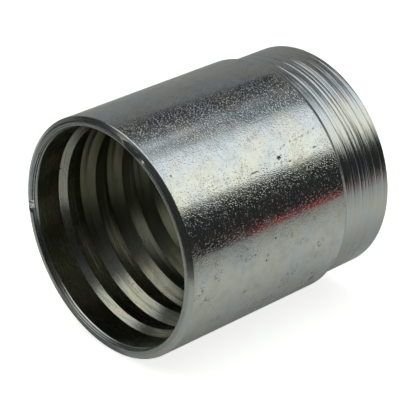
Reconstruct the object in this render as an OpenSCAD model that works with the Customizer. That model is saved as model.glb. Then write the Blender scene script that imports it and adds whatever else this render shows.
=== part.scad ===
// Crimp hose ferrule: a turned steel sleeve that is squeezed on to a hydraulic hose.
// Millimetres, +Z up. It stands on its collar end, with the mouth for the hose at the top.

/* [Hose and insert] */
// Outside diameter of the hose that goes in
hose_d = 30.2; // [26:0.1:34]
// Gap all round between the hose and the teeth
hose_gap = 0.6; // [0.2:0.05:1]
// Diameter of the insert's neck inside the collar
neck_d = 24.4; // [20:0.1:26]
// Gap all round between that neck and the collar
neck_gap = 0.3; // [0.1:0.05:0.6]

/* [Sleeve] */
// Overall length
length = 41.8; // [36:0.1:60]
// Wall left behind the grooves
wall = 1.7; // [1.5:0.1:3]
// Thickness of the collar at the closed end
collar_t = 4.2; // [2.5:0.1:6]
// Chamfer on both ends of the collar's hole
collar_edge = 0.5; // [0.2:0.1:0.8]
// Chamfer on the outer edge of the closed end
rear_edge = 0.4; // [0.2:0.1:0.8]

/* [Reduced band] */
// Length of the turned-down band at the closed end
band_len = 9.5; // [7:0.1:12]
// Depth that the band is turned down by
band_cut = 0.7; // [0.3:0.05:1]
// Length of the sloped shoulder up to the full diameter
shoulder_len = 1; // [0.5:0.1:2]

/* [Mouth] */
// How far the edge round the mouth falls away in radius
edge_drop = 0.95; // [0.3:0.05:1.1]
// Length of that edge along the sleeve
edge_len = 0.4; // [0.2:0.05:1]
// How far the lead-in narrows in radius
lead_drop = 0.35; // [0.1:0.05:0.5]
// Depth of the lead-in
lead_len = 0.9; // [0.4:0.05:1.5]

/* [Teeth] */
// Height of the teeth above the groove floors
tooth_h = 1.6; // [0.8:0.05:2.2]
// Depth of the first tooth below the mouth
tooth_first = 6.1; // [4:0.05:8]
// Height of the first tooth, which is lower so that the hose goes in
first_h = 0.9; // [0.4:0.05:1.5]
// Width of the first tooth's flat tip
first_land = 1.45; // [0.8:0.05:2.5]
// Width of the other teeth's flat tips
land_w = 1.7; // [0.8:0.05:2.5]
// Length of the steep back that holds the hose
back_len = 0.3; // [0.1:0.05:0.8]
// Width of a groove's floor
floor_w = 1.65; // [0.8:0.05:3]
// Length of the long front that the hose rides over
front_len = 1.8; // [1:0.05:3]

/* [Hidden] */
$fn = 180;

// Radii, from the hose outwards
collar_r = neck_d / 2 + neck_gap;
tip_r = hose_d / 2 + hose_gap;
floor_r = tip_r + tooth_h;
first_r = floor_r - first_h;
body_r = floor_r + wall;
band_r = body_r - band_cut;

// The first tooth has the slopes of the others
first_front = front_len * first_h / tooth_h;
first_back = back_len * first_h / tooth_h;

// Heights above the closed end
shoulder_z = band_len + shoulder_len;
first_z = length - tooth_first;
groove_z = first_z - first_land - first_back;
tooth_z = groove_z - floor_w - front_len;

// As many further grooves as fit above the shoulder, because the band is too thin for one
pitch = land_w + back_len + floor_w + front_len;
grooves = floor((tooth_z - shoulder_z) / pitch);

// One groove as [radius, distance below its tooth's top edge], down to the next tooth
groove = [
    [tip_r, 0],
    [tip_r, land_w],
    [floor_r, land_w + back_len],
    [floor_r, land_w + back_len + floor_w]
];

// The half-section's outline as [radius, height], round the outside and back down the bore
outside = [
    [collar_r, collar_edge],
    [collar_r + collar_edge, 0],
    [band_r - rear_edge, 0],
    [band_r, rear_edge],
    [band_r, band_len],
    [body_r, shoulder_z],
    [body_r, length - edge_len],
    [body_r - edge_drop, length]
];

mouth = [
    [floor_r + lead_drop, length],
    [floor_r, length - lead_len]
];

first_tooth = [
    [floor_r, first_z + first_front],
    [first_r, first_z],
    [first_r, first_z - first_land],
    [floor_r, groove_z],
    [floor_r, groove_z - floor_w]
];

teeth = [
    for (i = [0 : grooves - 1])
        for (p = groove)
            [p[0], tooth_z - i * pitch - p[1]]
];

seat = [
    [tip_r, tooth_z - grooves * pitch],
    [tip_r, collar_t],
    [collar_r + collar_edge, collar_t],
    [collar_r, collar_t - collar_edge]
];

module ferrule() {
    color([0.62, 0.63, 0.6])
        rotate_extrude()
            polygon(concat(outside, mouth, first_tooth, teeth, seat));
}

ferrule();
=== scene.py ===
"""Looks of the crimp hose ferrule: one zinc-plated steel sleeve standing on its collar end."""

import math

import bmesh
import bpy
from mathutils import Matrix, Vector


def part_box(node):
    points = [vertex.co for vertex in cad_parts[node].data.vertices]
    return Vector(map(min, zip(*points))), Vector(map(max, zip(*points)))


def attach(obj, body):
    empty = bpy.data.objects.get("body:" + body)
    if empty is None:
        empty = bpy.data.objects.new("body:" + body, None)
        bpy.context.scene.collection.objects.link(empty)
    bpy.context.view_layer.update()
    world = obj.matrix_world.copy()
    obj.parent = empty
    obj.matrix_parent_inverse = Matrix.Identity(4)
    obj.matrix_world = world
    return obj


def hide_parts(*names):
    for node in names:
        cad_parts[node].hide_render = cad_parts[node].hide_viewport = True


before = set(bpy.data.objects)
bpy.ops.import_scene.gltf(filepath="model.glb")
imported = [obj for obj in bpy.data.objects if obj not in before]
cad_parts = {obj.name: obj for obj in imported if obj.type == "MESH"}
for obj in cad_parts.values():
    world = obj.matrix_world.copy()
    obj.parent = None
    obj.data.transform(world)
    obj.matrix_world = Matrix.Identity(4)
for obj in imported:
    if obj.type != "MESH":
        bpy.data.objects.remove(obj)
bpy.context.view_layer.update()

MM = 0.001
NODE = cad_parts["ferrule"]
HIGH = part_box("ferrule")[1]
BODY_R = HIGH.x
LENGTH = HIGH.z

# Mesh: meridians round the sleeve and the least turn between two in degrees, steps between rings,
# the gap to the rings beside a corner, the stretch that is too short to cut up, and the grid on which
# the CAD points are told apart
MERIDIANS = 104
LEAST_TURN = 0.12
RING_STEP = 1.2 * MM
FINE_STEP = 0.12 * MM
BAND_STEP = 4 * FINE_STEP
MARK_STEP = 0.045 * MM
END_GAP = 0.04 * MM
SHORT_STRETCH = 3 * FINE_STEP
SNAP = 5e-6

# Edge breaks: radius, the most they take of a stretch, and the turn in radians from which they get a
# third step
EDGE_BREAK = 0.14 * MM
BREAK_SHARE = 0.3
SHARP_TURN = 0.6

# Where things lie: the radius that parts outside and bore, radii of the full teeth's fronts and of the
# chipped edge, the top of the reduced band, and depths below the mouth
OUTSIDE_R = 0.93 * BODY_R
CHIPPED_R = 0.91 * BODY_R
FRONTS_R = (0.84 * BODY_R, 0.9 * BODY_R)
BAND_TOP = 9.4 * MM
BEVEL_LEN = 0.4
LEAD_LEN = 0.9
EDGE_DEPTH = 0.6 * MM

# Finishes: how close to the full radius the drawn one begins, and how far the turned one reaches
# from the mouth and the foot
DRAWN_SKIN = 0.02 * MM
MOUTH_DEPTH = 0.95 * MM
FOOT_HEIGHT = 0.1 * MM

# Lines that the tool left on the reduced band, in millimetres: height, half width, depth
TOOL_MARKS = [
    (7.80, 0.12, 0.040),
    (7.25, 0.08, 0.016),
    (6.10, 0.14, 0.050),
    (5.30, 0.10, 0.034),
    (4.60, 0.12, 0.044),
    (4.28, 0.08, 0.026),
    (3.95, 0.08, 0.024),
    (2.80, 0.11, 0.026),
    (1.30, 0.12, 0.030),
]

# Lines that the tool left on the lead-in, with painted shade in them, darkest at one side (degrees):
# depth below the mouth, half width and depth in millimetres
LEAD_SIDE = 130.0
LEAD_MARKS = [
    (0.26, 0.10, 0.060),
    (0.58, 0.10, 0.050),
]

# Shallow lines that the tool left along the middle of the full teeth's fronts, deepest at one side
# (degrees): height, half width and depth in millimetres
FRONT_SIDE = 45.0
FRONT_MARKS = [
    (31.55, 0.30, 0.12),
    (26.10, 0.30, 0.12),
    (20.65, 0.30, 0.12),
]

# The flat round the mouth reaches further out than the source's, and lies further in at one side: its
# middle and the blend there as shares of the radius, the reach in millimetres, then that side's angle,
# its half spans in degrees at the inner and outer edge, and the offset in millimetres
FLAT_MIDDLE = 0.94
FLAT_BLEND = 0.01
FLAT_REACH = 0.35
FLAT_OFFSET = (-110.0, 62.0, 42.0, 0.42)

# Pits and dents of the outside: angle, then height, half widths round and along, and depth in
# millimetres. Those from this depth on are full of dirt.
DIRTY_DEPTH = 0.08
PITS = [
    (-87.0, 20.8, 0.24, 0.28, 0.12),
    (-86.2, 20.3, 0.10, 0.12, 0.05),
    (-83.4, 19.8, 0.11, 0.16, 0.04),
    (-82.4, 18.8, 0.12, 0.20, 0.04),
    (-81.9, 17.5, 0.10, 0.24, 0.04),
    (-82.1, 16.3, 0.13, 0.13, 0.05),
    (-81.7, 14.9, 0.14, 0.16, 0.05),
    (-81.4, 13.6, 0.11, 0.20, 0.04),
    (-80.5, 12.3, 0.11, 0.24, 0.04),
    (-90.3, 19.2, 0.14, 0.14, 0.04),
    (-88.7, 13.8, 0.12, 0.30, 0.04),
    (-89.0, 26.2, 0.14, 0.90, 0.03),
    (-74.1, 24.0, 0.45, 0.10, 0.03),
    (-159.2, 14.3, 0.80, 0.40, 0.16),
]

# Chips in the edge of the mouth, with steep walls and a level floor of bare metal: angle, then radius,
# half widths round and across, and depth of the floor below the mouth in millimetres
CHIP_WALL = 4
CHIPS = [
    (-48.2, 18.20, 0.42, 0.28, 0.04),
    (-45.4, 18.10, 0.16, 0.16, 0.03),
    (-64.0, 18.08, 0.26, 0.24, 0.04),
    (-66.4, 18.00, 0.16, 0.16, 0.03),
    (-55.8, 18.44, 1.50, 0.18, 0.14),
    (58.0, 17.95, 0.45, 0.50, 0.30),
    (55.6, 17.80, 0.25, 0.30, 0.15),
]

# For closer rings: height and half width of each mark, and how many half widths they reach
FINE_LEVELS = {
    "fronts": ([row[:2] for row in FRONT_MARKS], 2.0),
    "band": ([row[:2] for row in TOOL_MARKS], 1.8),
    "pits": ([(level, along) for _, level, _, along, _ in PITS], 1.6),
}

# For closer meridians: where they stand in half widths from the middle of a pit or chip
FINE_TURNS = (
    (PITS, (0.0, 0.53, 1.07, 1.6)),
    (CHIPS, (0.0, 0.4, 0.75, 1.0)),
)


def outline(node):
    """The half-section's closed outline as ordered (radius, height) points, from the CAD mesh."""
    mesh = node.data
    place = [
        (round(math.hypot(v.co.x, v.co.y) / SNAP), round(v.co.z / SNAP)) for v in mesh.vertices
    ]
    near = {}
    for edge in mesh.edges:
        a, b = (place[i] for i in edge.vertices)
        if a != b:
            near.setdefault(a, set()).add(b)
            near.setdefault(b, set()).add(a)
    start = min(near, key=lambda p: (p[1], p[0]))
    walk = [start, max(near[start])]
    while walk[-1] != start:
        walk.append(next(p for p in near[walk[-1]] if p != walk[-2]))
    return [Vector((r * SNAP, z * SNAP)) for r, z in walk[:-1]]


def broken_edges(points):
    """The outline with each corner rounded a little, as tumbling and plating leave it."""
    out = []
    for i, here in enumerate(points):
        back = points[i - 1] - here
        ahead = points[(i + 1) % len(points)] - here
        turn = math.pi - back.angle(ahead)
        most = BREAK_SHARE * min(back.length, ahead.length)
        cut = min(EDGE_BREAK * math.tan(turn / 2), most)
        a = here + back.normalized() * cut
        b = here + ahead.normalized() * cut
        steps = 2 if turn < SHARP_TURN else 3
        for k in range(steps + 1):
            f = k / steps
            out.append(a * (1 - f) ** 2 + here * 2 * f * (1 - f) + b * f ** 2)
    return out


def near_mark(height, kind):
    """Whether a height lies within reach of one of these marks."""
    levels, reach = FINE_LEVELS[kind]
    return any(abs(height - level * MM) < reach * half * MM for level, half in levels)


def ring_step(point):
    """How close the rings lie: finest across tool lines, fine at the mouth's edge and across pits."""
    depth = LENGTH - point.y
    if point.x < OUTSIDE_R:
        if near_mark(point.y, "fronts"):
            return FINE_STEP
        return MARK_STEP if depth < LEAD_LEN * MM else RING_STEP
    if point.y < BAND_TOP:
        return MARK_STEP if near_mark(point.y, "band") else BAND_STEP
    if depth < EDGE_DEPTH:
        return MARK_STEP if depth < SNAP else FINE_STEP
    return FINE_STEP if near_mark(point.y, "pits") else RING_STEP


def divided(points):
    """The outline with its straight stretches cut up, and a ring close to each of their ends."""
    out = []
    for i, here in enumerate(points):
        ahead = points[(i + 1) % len(points)]
        way = ahead - here
        length = way.length
        out.append(here)
        if length < SHORT_STRETCH:
            continue
        at = END_GAP
        last = -RING_STEP
        while at < length - END_GAP:
            point = here + way * (at / length)
            if at - last > ring_step(point) - SNAP:
                out.append(point)
                last = at
            at += MARK_STEP
        out.append(ahead - way * (END_GAP / length))
    return out


def meridian_angles():
    """Even angles round the sleeve, with closer ones across each pit and chip."""
    angles = {round(360 * k / MERIDIANS, 3) for k in range(MERIDIANS)}
    for marks, places in FINE_TURNS:
        for angle, _, across, _, _ in marks:
            half = math.degrees(across * MM / BODY_R)
            for k in places:
                angles |= {round((angle + side * half * k) % 360, 3) for side in (-1, 1)}
    kept = [min(angles)]
    for angle in sorted(angles):
        if angle - kept[-1] > LEAST_TURN:
            kept.append(angle)
    return kept


def turn_from(angle, at):
    """The turn from one angle to another, from -180 to 180 degrees."""
    return (angle - at + 180) % 360 - 180


def dip(angle, at, across, offset, along):
    """How deep into a pit a point lies, from 0 outside to 1 at its middle."""
    x = math.radians(turn_from(angle, at)) * BODY_R / (across * MM)
    y = offset / (along * MM)
    return math.exp(-(x * x + y * y) ** 1.5)


def chipped(angle, at, across, offset, along):
    """1 inside a chip, falling to 0 just within its edges."""
    x = abs(math.radians(turn_from(angle, at))) * BODY_R / (across * MM)
    y = abs(offset) / along
    share_x, share_y = (max(0.0, min(1.0, CHIP_WALL * (1 - k))) for k in (x, y))
    return share_x * share_y


def line_share(height, level, half):
    """How deep into a tool's line a height lies, from 0 far off to 1 along its middle."""
    y = (height - level * MM) / (half * MM)
    return math.exp(-y * y)


def flat_shift(point, angle):
    """How far outwards a point of the mouth's flat, or of the slopes beside it, is moved."""
    at, span_in, span_out, offset = FLAT_OFFSET
    turn = turn_from(angle, at)
    out = (point.x / BODY_R - FLAT_MIDDLE) / FLAT_BLEND
    depth = (LENGTH - point.y) / MM
    if out < 0:
        shift = -offset * math.exp(-(turn / span_in) ** 4)
        return shift * MM * min(1.0, -out) * max(0.0, 1 - depth / LEAD_LEN)
    shift = FLAT_REACH - offset * math.exp(-(turn / span_out) ** 4)
    return shift * MM * min(1.0, out) * max(0.0, 1 - depth / BEVEL_LEN)


def worn(point, angle):
    """A point of the turned outline at this angle, moved by its marks: place, pit dirt and painted
    shade, bare metal.
    """
    radius, height = point
    below = LENGTH - height
    pit_dirt_and_shade = 0.0
    bare = 0.0
    if point.x > OUTSIDE_R:
        for at, level, across, along, depth in PITS:
            share = dip(angle, at, across, height - level * MM, along)
            radius -= depth * MM * share
            pit_dirt_and_shade = max(pit_dirt_and_shade, share * min(1.0, depth / DIRTY_DEPTH))
        if height < BAND_TOP:
            for level, half, depth in TOOL_MARKS:
                radius -= depth * MM * line_share(height, level, half)
    elif below < LEAD_LEN * MM:
        # Painted shade in the lead-in's lines, darkest at one side
        side = max(0.0, math.cos(math.radians(angle - LEAD_SIDE)))
        for level, half, depth in LEAD_MARKS:
            share = line_share(below, level, half)
            radius += depth * MM * share
            pit_dirt_and_shade = max(pit_dirt_and_shade, side * share)
    radius += flat_shift(point, angle)
    if FRONTS_R[0] < point.x < FRONTS_R[1]:
        side = 0.5 + 0.5 * math.cos(math.radians(angle - FRONT_SIDE))
        for level, half, depth in FRONT_MARKS:
            radius += depth * MM * side ** 2 * line_share(height, level, half)
    if height > LENGTH - EDGE_DEPTH and point.x > CHIPPED_R:
        for at, middle, across, along, depth in CHIPS:
            share = chipped(angle, at, across, radius / MM - middle, along)
            height = min(height, LENGTH - depth * MM * share)
            bare = max(bare, share)
    a = math.radians(angle)
    return (radius * math.cos(a), radius * math.sin(a), height), pit_dirt_and_shade, bare


def zone(a, b):
    """Material slot of a strip: 0 for the drawn outside, 1 for turned outside faces, 2 for the bore."""
    r = min(a.x, b.x)
    if r > BODY_R - DRAWN_SKIN:
        return 0
    at_an_end = min(a.y, b.y) > LENGTH - MOUTH_DEPTH or max(a.y, b.y) < FOOT_HEIGHT
    return 1 if r > OUTSIDE_R or at_an_end else 2


def sleeve():
    """The ferrule as one closed mesh, turned from the CAD outline."""
    rings = divided(broken_edges(outline(NODE)))
    angles = meridian_angles()
    n, m = len(angles), len(rings)
    points = [worn(p, a) for p in rings for a in angles]
    faces = []
    zones = []
    for i in range(m):
        j = (i + 1) % m
        slot = zone(rings[i], rings[j])
        for k in range(n):
            q = (k + 1) % n
            faces.append((i * n + k, i * n + q, j * n + q, j * n + k))
            zones.append(slot)
    mesh = bpy.data.meshes.new("ferrule_sleeve")
    mesh.from_pydata([place for place, _, _ in points], [], faces)
    for column, name in ((1, "pit_dirt_and_shade"), (2, "bare")):
        share = mesh.attributes.new(name, "FLOAT", "POINT")
        share.data.foreach_set("value", [point[column] for point in points])
    mesh.polygons.foreach_set("material_index", zones)
    mesh.polygons.foreach_set("use_smooth", [True] * len(faces))
    shell = bmesh.new()
    shell.from_mesh(mesh)
    bmesh.ops.recalc_face_normals(shell, faces=shell.faces)
    shell.to_mesh(mesh)
    shell.free()
    made = bpy.data.objects.new("ferrule_sleeve", mesh)
    bpy.context.scene.collection.objects.link(made)
    return made


class Graph:
    """Short names for building a node tree."""

    def __init__(self, tree):
        self.tree = tree
        tree.nodes.clear()

    def add(self, kind, **values):
        made = self.tree.nodes.new(kind)
        for name, value in values.items():
            setattr(made, name, value)
        return made

    def put(self, socket, value):
        if isinstance(value, bpy.types.NodeSocket):
            self.tree.links.new(value, socket)
        else:
            socket.default_value = value

    def math(self, operation, *values):
        made = self.add("ShaderNodeMath", operation=operation)
        for socket, value in zip(made.inputs, values):
            self.put(socket, value)
        return made.outputs[0]

    def chain(self, operation, values):
        total = values[0]
        for value in values[1:]:
            total = self.math(operation, total, value)
        return total

    def product(self, *values):
        return self.chain("MULTIPLY", values)

    def most(self, *values):
        return self.chain("MAXIMUM", values)

    def split(self, vector):
        made = self.add("ShaderNodeSeparateXYZ")
        self.put(made.inputs[0], vector)
        return made.outputs

    def vector(self, x, y, z):
        made = self.add("ShaderNodeCombineXYZ")
        for socket, value in zip(made.inputs, (x, y, z)):
            self.put(socket, value)
        return made.outputs[0]

    def scaled(self, vector, factors):
        made = self.add("ShaderNodeVectorMath", operation="MULTIPLY")
        self.put(made.inputs[0], vector)
        made.inputs[1].default_value = factors
        return made.outputs[0]

    def dot(self, vector, direction):
        made = self.add("ShaderNodeVectorMath", operation="DOT_PRODUCT")
        self.put(made.inputs[0], vector)
        made.inputs[1].default_value = direction
        return made.outputs["Value"]

    def radius(self, x, y):
        """Distance from the sleeve's axis."""
        return self.math("SQRT", self.math("ADD", self.product(x, x), self.product(y, y)))

    def noise(self, vector, scale, detail=2.0, rough=0.5):
        made = self.add("ShaderNodeTexNoise")
        self.put(made.inputs["Vector"], vector)
        made.inputs["Scale"].default_value = scale
        made.inputs["Detail"].default_value = detail
        made.inputs["Roughness"].default_value = rough
        return made.outputs["Fac"]

    def cells(self, vector, scale):
        """Distance from the nearest of many scattered points, and that point's own random value."""
        made = self.add("ShaderNodeTexVoronoi")
        self.put(made.inputs["Vector"], vector)
        made.inputs["Scale"].default_value = scale
        pick = self.add("ShaderNodeSeparateColor")
        self.put(pick.inputs[0], made.outputs["Color"])
        return made.outputs["Distance"], pick.outputs[0]

    def carried(self, name):
        """A share that the mesh carries at its points."""
        return self.add("ShaderNodeAttribute", attribute_name=name).outputs["Fac"]

    def steps(self, value, low, high, to_low=0.0, to_high=1.0):
        """A smooth rise or fall from to_low at low to to_high at high."""
        made = self.add("ShaderNodeMapRange", interpolation_type="SMOOTHSTEP")
        self.put(made.inputs["Value"], value)
        made.inputs["From Min"].default_value = low
        made.inputs["From Max"].default_value = high
        made.inputs["To Min"].default_value = to_low
        made.inputs["To Max"].default_value = to_high
        return made.outputs["Result"]

    def between(self, value, low, high, soft):
        """1 between low and high, with soft ends that reach out by half of soft."""
        rise = self.steps(value, low - soft / 2, low + soft / 2)
        fall = self.steps(value, high - soft / 2, high + soft / 2, 1.0, 0.0)
        return self.product(rise, fall)

    def mix(self, factor, a, b):
        made = self.add("ShaderNodeMix", data_type="RGBA")
        self.put(made.inputs["Factor"], factor)
        for socket, value in ((made.inputs[6], a), (made.inputs[7], b)):
            self.put(socket, value if isinstance(value, bpy.types.NodeSocket) else (*value, 1.0))
        return made.outputs[2]

    def ramp(self, value, stops):
        made = self.add("ShaderNodeValToRGB")
        elements = made.color_ramp.elements
        while len(elements) < len(stops):
            elements.new(0.5)
        for element, (at, colour) in zip(elements, stops):
            element.position = at
            element.color = (*colour, 1.0)
        self.put(made.inputs[0], value)
        return made.outputs[0]

    def bump(self, height, distance, normal=None):
        made = self.add("ShaderNodeBump")
        made.inputs["Strength"].default_value = 1.0
        made.inputs["Distance"].default_value = distance
        self.put(made.inputs["Height"], height)
        if normal is not None:
            self.put(made.inputs["Normal"], normal)
        return made.outputs["Normal"]


# Zinc: tint and roughness of each finish, how both vary and on what scale in cells per metre
DRAWN_ZINC = ((0.62, 0.64, 0.62), 0.12)
TURNED_ZINC = ((0.57, 0.585, 0.57), 0.15)
BORED_ZINC = ((0.43, 0.425, 0.372), 0.16)
ROUGH_RANGE = (-0.03, 0.04)
ROUGH_SCALE = 420.0
TINT_SCALE = 200.0
COOL_ZINC = (0.965, 1.0, 1.04)
WARM_ZINC = (1.03, 1.003, 0.945)

# Wear and painted shade: bare metal, what dirt and painted shade leave of the tint outside and in
# the bore, and how both change roughness
BARE_METAL = (0.95, 0.95, 0.92)
DIRT_AND_SHADE = (0.25, 0.25, 0.25)
BORE_SHADE_AND_DIRT = (0.2, 0.21, 0.1)
DARK_MASK_DULLS = 0.25
BARE_SHINES = -0.3

# Textures of the drawn tube: scales in cells per metre, then heights in metres
WAVES = (260.0, 10e-6)
PIMPLES = ((3100.0, 23e-6), (4900.0, 12e-6))
SCRATCHES = ((1700.0, 1700.0, 130.0), -4e-6)
SCUFFS = (300.0, 300.0, 2200.0)
SMALL_PITS = (420.0, -14e-6)
MOTTLE = 520.0
WRINKLES = 1000.0
WRINKLE_GROUPS = 240.0

# Textures of the cut faces: width of the tool's lines and how fast they change round the axis,
# then heights in metres. The slant makes lines on level faces too, the skew keeps them uneven.
LINE_SLANT = 0.83
LINE_SKEW = 1.3
TURNED_LINES = ((0.6 * MM, 16.0, 70e-6), (0.2 * MM, 60.0, 30e-6))
BORED_LINES = ((0.7 * MM, 14.0, 36e-6), (0.2 * MM, 50.0, 18e-6))
BORED_STREAKS = (0.12 * MM, 160.0)
TURNED_GRAIN = (3600.0, 6e-6)
BORED_GRAIN = (2600.0, 5e-6)

# Sides of the sleeve with wrinkles, and with painted shade, darker and duller, on the band, the rim
# and in the bore
WRINKLED_SIDE = (-0.766, -0.643, 0.0)
BAND_SIDE = (-0.966, -0.259, 0.0)
RIM_SIDE = (-0.616, 0.788, 0.0)
BORE_SIDE = (0.77, 0.64, 0.0)


def times(colour, factors):
    """A colour with each channel multiplied."""
    return tuple(c * k for c, k in zip(colour, factors))


def metal(name, tint, rough, relief, dirt_and_shade_factors=DIRT_AND_SHADE):
    """Zinc-plated steel: relief(graph, place) gives its normal and a mask of dirt and painted shade."""
    material = bpy.data.materials.new(name)
    material.use_nodes = True
    g = Graph(material.node_tree)
    place = g.add("ShaderNodeTexCoord").outputs["Object"]
    normal, darkened = relief(g, place)
    bare = g.carried("bare")
    cloud = g.steps(g.noise(place, TINT_SCALE, 3.0), 0.36, 0.64)
    colour = g.mix(cloud, times(tint, COOL_ZINC), times(tint, WARM_ZINC))
    # The mask darkens the tint: dirt, and painted shade where the relief paints it
    colour = g.mix(darkened, colour, times(tint, dirt_and_shade_factors))
    colour = g.mix(bare, colour, BARE_METAL)
    low, high = (rough + change for change in ROUGH_RANGE)
    uneven = g.steps(g.noise(place, ROUGH_SCALE, 3.0), 0.3, 0.7, low, high)
    dulled = g.math("MULTIPLY_ADD", bare, BARE_SHINES, darkened)
    shader = g.add("ShaderNodeBsdfPrincipled")
    shader.inputs["Metallic"].default_value = 1.0
    g.put(shader.inputs["Base Color"], colour)
    g.put(shader.inputs["Roughness"], g.math("MULTIPLY_ADD", dulled, DARK_MASK_DULLS, uneven))
    g.put(shader.inputs["Normal"], normal)
    end = g.add("ShaderNodeOutputMaterial")
    g.put(end.inputs["Surface"], shader.outputs[0])
    return material


def drawn(g, place):
    """Drawn tube under the plating: fine pimples, soft waves, pits, scratches and one wrinkled side."""
    scale, high = WAVES
    normal = g.bump(g.noise(place, scale, 1.0), high)
    for scale, high in PIMPLES:
        distance, pick = g.cells(place, scale)
        rise = g.steps(distance, 0.0, 0.46, 1.0, 0.0)
        normal = g.bump(g.product(rise, g.steps(pick, 0.0, 0.8, 0.3, 1.0)), high, normal)
    scales, high = SCRATCHES
    scratches = g.steps(g.noise(g.scaled(place, scales), 1.0, 2.0), 0.68, 0.76)
    normal = g.bump(scratches, high, normal)
    scuffs = g.steps(g.noise(g.scaled(place, SCUFFS), 1.0, 2.0), 0.62, 0.74)
    faint = g.product(g.most(scratches, scuffs), 0.2)
    scale, high = SMALL_PITS
    distance, pick = g.cells(place, scale)
    pits = g.product(g.steps(distance, 0.04, 0.1, 1.0, 0.0), g.steps(pick, 0.86, 0.9))
    mottle = g.steps(g.noise(place, MOTTLE, 5.0, 0.6), 0.4, 0.75, 0.0, 0.2)
    bend = g.math("ABSOLUTE", g.math("SUBTRACT", g.noise(place, WRINKLES, 2.0, 0.6), 0.5))
    wrinkles = g.product(
        g.steps(bend, 0.006, 0.028, 1.0, 0.0),
        g.steps(g.noise(place, WRINKLE_GROUPS, 2.0), 0.52, 0.6, 0.0, 0.8),
        g.steps(g.dot(place, WRINKLED_SIDE), 14.5 * MM, 17.0 * MM),
    )
    darkened = g.most(pits, g.carried("pit_dirt_and_shade"), faint, mottle, wrinkles)
    return g.bump(pits, high, normal), darkened


def tool_lines(g, place, width, spread):
    """Heights that run in rings round the axis, as a turning tool leaves them."""
    x, y, z = g.split(place)
    across = g.math("MULTIPLY_ADD", g.radius(x, y), LINE_SLANT, z)
    slow = g.math("ADD", g.product(x, spread), g.product(y, LINE_SKEW * spread))
    return g.noise(g.vector(g.product(across, 1.0 / width), slow, 0.0), 1.0, 3.0, 0.6)


def cut_face(g, place, lines, grain, detail):
    """Relief of a face that a tool cut: its normal, and the height of the plating's grain."""
    normal = None
    for width, spread, high in lines:
        normal = g.bump(tool_lines(g, place, width, spread), high, normal)
    scale, high = grain
    grains = g.noise(place, scale, detail)
    return g.bump(grains, high, normal), grains


def turned(g, place):
    """Feed marks of the turned band, edges and ends, dull at the mouth, with painted shade on one side
    of the band and of the rim.
    """
    normal, grains = cut_face(g, place, TURNED_LINES, TURNED_GRAIN, 2.0)
    x, y, z = g.split(place)
    radius = g.radius(x, y)
    mouth = g.product(
        g.steps(z, 40.9 * MM, 41.3 * MM, 0.0, 0.4),
        g.steps(radius, 18.0 * MM, 18.3 * MM, 1.0, 0.5),
    )
    # Painted shade: the band darker and duller on one side
    band = g.product(
        g.steps(g.dot(place, BAND_SIDE), 14.5 * MM, 18.2 * MM, 0.0, 0.4),
        g.steps(z, 12.0 * MM, 20.0 * MM, 1.0, 0.0),
    )
    # Painted shade: the mouth's rim darker and duller on one side
    rim = g.product(
        g.steps(z, 41.0 * MM, 41.4 * MM),
        g.steps(radius, 17.6 * MM, 17.75 * MM),
        g.steps(g.dot(place, RIM_SIDE), 15.0 * MM, 17.2 * MM, 0.0, 0.8),
    )
    return normal, g.most(g.steps(grains, 0.72, 0.8), g.carried("pit_dirt_and_shade"), mouth, band, rim)


def bored(g, place):
    """Boring marks inside, darker deep in the bore, which is painted shade and partly dull plating, and
    with painted shade on one side.
    """
    normal, grains = cut_face(g, place, BORED_LINES, BORED_GRAIN, 3.0)
    z = g.split(place)[2]
    # Painted shade, partly dull plating: darker the deeper in the bore
    deep = g.steps(z, 14.0 * MM, 37.0 * MM, 0.85, 0.05)
    # Painted shade: darker on one side of the bore, short of the mouth
    side_shade = g.product(
        g.steps(g.dot(place, BORE_SIDE), 7.0 * MM, 13.0 * MM, 0.0, 0.78),
        g.steps(z, 33.5 * MM, 35.5 * MM, 1.0, 0.0),
    )
    streaks = g.steps(tool_lines(g, place, *BORED_STREAKS), 0.44, 0.66, 0.0, 0.6)
    return normal, g.most(g.steps(grains, 0.6, 0.76), streaks, deep, side_shade)


# The photograph's stage: the sleeve lies on a pale table with a pale backdrop behind it, under one long
# soft box in a dark room. Turns go from +Y towards +X, lifts are above the horizon, both in degrees.
TABLE_UP = Vector((0.815, -0.579, 0.0)).normalized()
TABLE_SIDE = Vector((0.579, 0.815, 0.0)).normalized()
BEHIND = (TABLE_SIDE * 0.734 - Vector((0.0, 0.0, 0.68))).normalized()
WHITE_TO_CAMERA = 0.78
WHITE_TO_METAL = 0.08
TABLE_PAPER = (0.8, 0.81, 0.77)
BACKDROP_PAPER = (0.805, 0.83, 0.865)
RED_GLOW = (0.34, 0.035, 0.045)

# Painted shade: both papers get darker towards the table's edge: by how much, and between which
# places along TABLE_SIDE
PAPER_EDGE_SHADE = (0.71, 0.71, 0.71)
DIM_SPAN = (-0.09, -0.025)

# Sizes on the stage, in metres: the table reaches so far beside, below and along the sleeve
TABLE_GAP = 0.02 * MM
TABLE_EDGE = 0.104
TABLE_WIDTH = 0.454
TABLE_BELOW = 0.35
TABLE_LENGTH = 0.429
BACKDROP_AWAY = 0.13
BACKDROP_HALF = 0.35
BACKDROP_HEIGHT = 0.141
CARD_BELOW = 0.064
CARD_LENGTH = 0.025
CARD_HEIGHT = 0.010

# The room's light by turn
ROOM = [
    (0, (0.035, 0.035, 0.035)),
    (92, (0.06, 0.06, 0.065)),
    (110, (0.08, 0.08, 0.085)),
    (125, (0.14, 0.15, 0.16)),
    (184, (0.025, 0.027, 0.027)),
    (240, (0.025, 0.027, 0.027)),
    (360, (0.035, 0.035, 0.035)),
]
COOL_LIGHT = (1.08, 1.13, 1.18)
WARM_LIGHT = (1.23, 1.25, 1.15)

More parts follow.
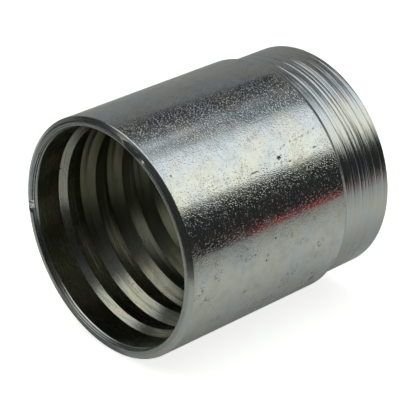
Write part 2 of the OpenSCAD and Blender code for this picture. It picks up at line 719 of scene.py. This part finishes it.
# The soft box: lean and turn of its two long sides, half their softness, where it gets warm, and the
# lifts of its ends. One upper corner is cut off above these lifts and before these turns.
BOX_LOW = (0.98, 96.8)
BOX_HIGH = (0.68, 157.8)
BOX_SOFT = 4.5
BOX_WARM = (5.0, 40.0)
BOX_LIFTS = (-62.0, 51.0, 6.0)
CORNER_LIFTS = (15.0, 30.0)
CORNER_TURNS = (76.0, 84.0)

# A light ceiling that leans, and a small bright strip: low, high and softness of their turns and lifts
CEILING_LEAN = 0.24
CEILING_TURNS = (88.0, 140.0, 8.0)
CEILING_LIFTS = (-5.0, 45.0, 8.0)
STRIP_TURNS = (113.0, 119.0, 4.0)
STRIP_LIFTS = (-37.0, -20.0, 2.5)


def studio():
    """World light: a dark room with one long soft box that leans round the part."""
    world = bpy.data.worlds.new("studio")
    bpy.context.scene.world = world
    world.use_nodes = True
    g = Graph(world.node_tree)
    x, y, z = g.split(g.add("ShaderNodeTexCoord").outputs["Generated"])
    share = g.math("FRACT", g.math("DIVIDE", g.math("ARCTAN2", x, y), 2 * math.pi))
    turn = g.product(share, 360.0)
    lift = g.math("DEGREES", g.math("ARCSINE", z))
    light = g.ramp(share, [(at / 360.0, colour) for at, colour in ROOM])

    past_low, past_high = (
        g.math("MULTIPLY_ADD", lift, lean, g.math("SUBTRACT", turn, at))
        for lean, at in (BOX_LOW, BOX_HIGH)
    )
    box = g.product(
        g.steps(past_low, -BOX_SOFT, BOX_SOFT),
        g.steps(past_high, -BOX_SOFT, BOX_SOFT, 1.0, 0.0),
        g.most(g.steps(lift, *CORNER_LIFTS, 1.0, 0.0), g.steps(turn, *CORNER_TURNS)),
        g.between(lift, *BOX_LIFTS),
    )
    light = g.mix(box, light, g.mix(g.steps(past_low, *BOX_WARM), COOL_LIGHT, WARM_LIGHT))
    above = g.math("MULTIPLY_ADD", turn, CEILING_LEAN, lift)
    ceiling = g.product(g.between(turn, *CEILING_TURNS), g.between(above, *CEILING_LIFTS))
    light = g.mix(ceiling, light, COOL_LIGHT)
    strip = g.product(g.between(turn, *STRIP_TURNS), g.between(lift, *STRIP_LIFTS))
    light = g.mix(strip, light, COOL_LIGHT)

    seen = g.add("ShaderNodeLightPath").outputs["Is Camera Ray"]
    glow = g.add("ShaderNodeBackground")
    g.put(glow.inputs["Color"], g.mix(seen, light, (1.0, 1.0, 1.0)))
    end = g.add("ShaderNodeOutputWorld")
    g.put(end.inputs["Surface"], glow.outputs[0])


def pale(name, colour):
    """Table or backdrop: pale, white to the camera and pale in the metal, with painted shade towards
    the table's edge, and clear from behind.
    """
    material = bpy.data.materials.new(name)
    material.use_nodes = True
    g = Graph(material.node_tree)
    place = g.add("ShaderNodeTexCoord").outputs["Object"]
    # Painted shade: the paper and its glow in the metal get darker towards the table's edge
    inward = g.steps(g.dot(place, TABLE_SIDE), *DIM_SPAN)
    matt = g.add("ShaderNodeBsdfDiffuse")
    g.put(matt.inputs["Color"], g.mix(inward, times(colour, PAPER_EDGE_SHADE), colour))
    rays = g.add("ShaderNodeLightPath").outputs
    mirrored = g.product(g.math("ADD", rays["Is Glossy Ray"], rays["Is Transmission Ray"]), inward)
    white = g.product(rays["Is Camera Ray"], WHITE_TO_CAMERA)
    glow = g.add("ShaderNodeEmission")
    g.put(glow.inputs["Strength"], g.math("MULTIPLY_ADD", mirrored, WHITE_TO_METAL, white))
    both = g.add("ShaderNodeAddShader")
    g.put(both.inputs[0], matt.outputs[0])
    g.put(both.inputs[1], glow.outputs[0])
    clear = g.add("ShaderNodeBsdfTransparent")
    side = g.add("ShaderNodeMixShader")
    g.put(side.inputs[0], g.add("ShaderNodeNewGeometry").outputs["Backfacing"])
    g.put(side.inputs[1], both.outputs[0])
    g.put(side.inputs[2], clear.outputs[0])
    end = g.add("ShaderNodeOutputMaterial")
    g.put(end.inputs["Surface"], side.outputs[0])
    return material


def red():
    """A plain red glow, though the card is no lamp, which the metal shows as a red reflection."""
    material = bpy.data.materials.new("red_glow")
    material.use_nodes = True
    g = Graph(material.node_tree)
    glow = g.add("ShaderNodeEmission")
    glow.inputs["Color"].default_value = (*RED_GLOW, 1.0)
    end = g.add("ShaderNodeOutputMaterial")
    g.put(end.inputs["Surface"], glow.outputs[0])
    return material


def sheet(name, corner, along, across, material):
    """A flat staged sheet from one corner and its two sides, which faces along x across."""
    corners = [corner, corner + along, corner + along + across, corner + across]
    mesh = bpy.data.meshes.new(name)
    mesh.from_pydata(corners, [], [(0, 1, 2, 3)])
    mesh.materials.append(material)
    made = bpy.data.objects.new(name, mesh)
    bpy.context.scene.collection.objects.link(made)
    return made


def floor():
    """The table that the sleeve's side touches, as in the photograph, the backdrop and a red card."""
    up = Vector((0.0, 0.0, 1.0))
    under = TABLE_UP * -(BODY_R + TABLE_GAP)
    edge = under - TABLE_SIDE * TABLE_EDGE
    paper = pale("floor_paper", TABLE_PAPER)
    sheet("floor", edge - up * TABLE_BELOW, TABLE_SIDE * TABLE_WIDTH, up * TABLE_LENGTH, paper)
    level = TABLE_UP.cross(BEHIND)
    foot = under + BEHIND * BACKDROP_AWAY - level * BACKDROP_HALF
    paper = pale("backdrop_paper", BACKDROP_PAPER)
    sheet("backdrop", foot, TABLE_UP * BACKDROP_HEIGHT, level * 2 * BACKDROP_HALF, paper)
    foot = edge - up * CARD_BELOW
    # The red card glows, and is seen only in the metal as a red reflection
    card = sheet("red_card", foot, up * CARD_LENGTH, TABLE_UP * CARD_HEIGHT, red())
    card.visible_camera = False


def camera():
    """The photo's viewpoint, fitted to its outline: its axes, and its place in sleeve radii."""
    right = Vector((-0.394, -0.5541, -0.7333))
    up = Vector((0.9191, -0.2375, -0.3143))
    back = Vector((0.0, -0.7979, 0.6028))
    place = Vector((-0.1049, -12.963, 10.946)) * BODY_R
    data = bpy.data.cameras.new("camera")
    data.lens = 172.09
    data.sensor_width = 36.0
    data.clip_start = 0.01
    made = bpy.data.objects.new("camera", data)
    axes = Matrix((right, up, back)).transposed().to_4x4()
    made.matrix_world = Matrix.Translation(place) @ axes
    bpy.context.scene.collection.objects.link(made)
    bpy.context.scene.camera = made


piece = sleeve()
piece.data.materials.append(metal("drawn_zinc", *DRAWN_ZINC, drawn))
piece.data.materials.append(metal("turned_zinc", *TURNED_ZINC, turned))
piece.data.materials.append(metal("bored_zinc", *BORED_ZINC, bored, BORE_SHADE_AND_DIRT))
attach(piece, "root")
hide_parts("ferrule")

floor()
studio()
camera()
bpy.context.scene.view_settings.view_transform = "Standard"
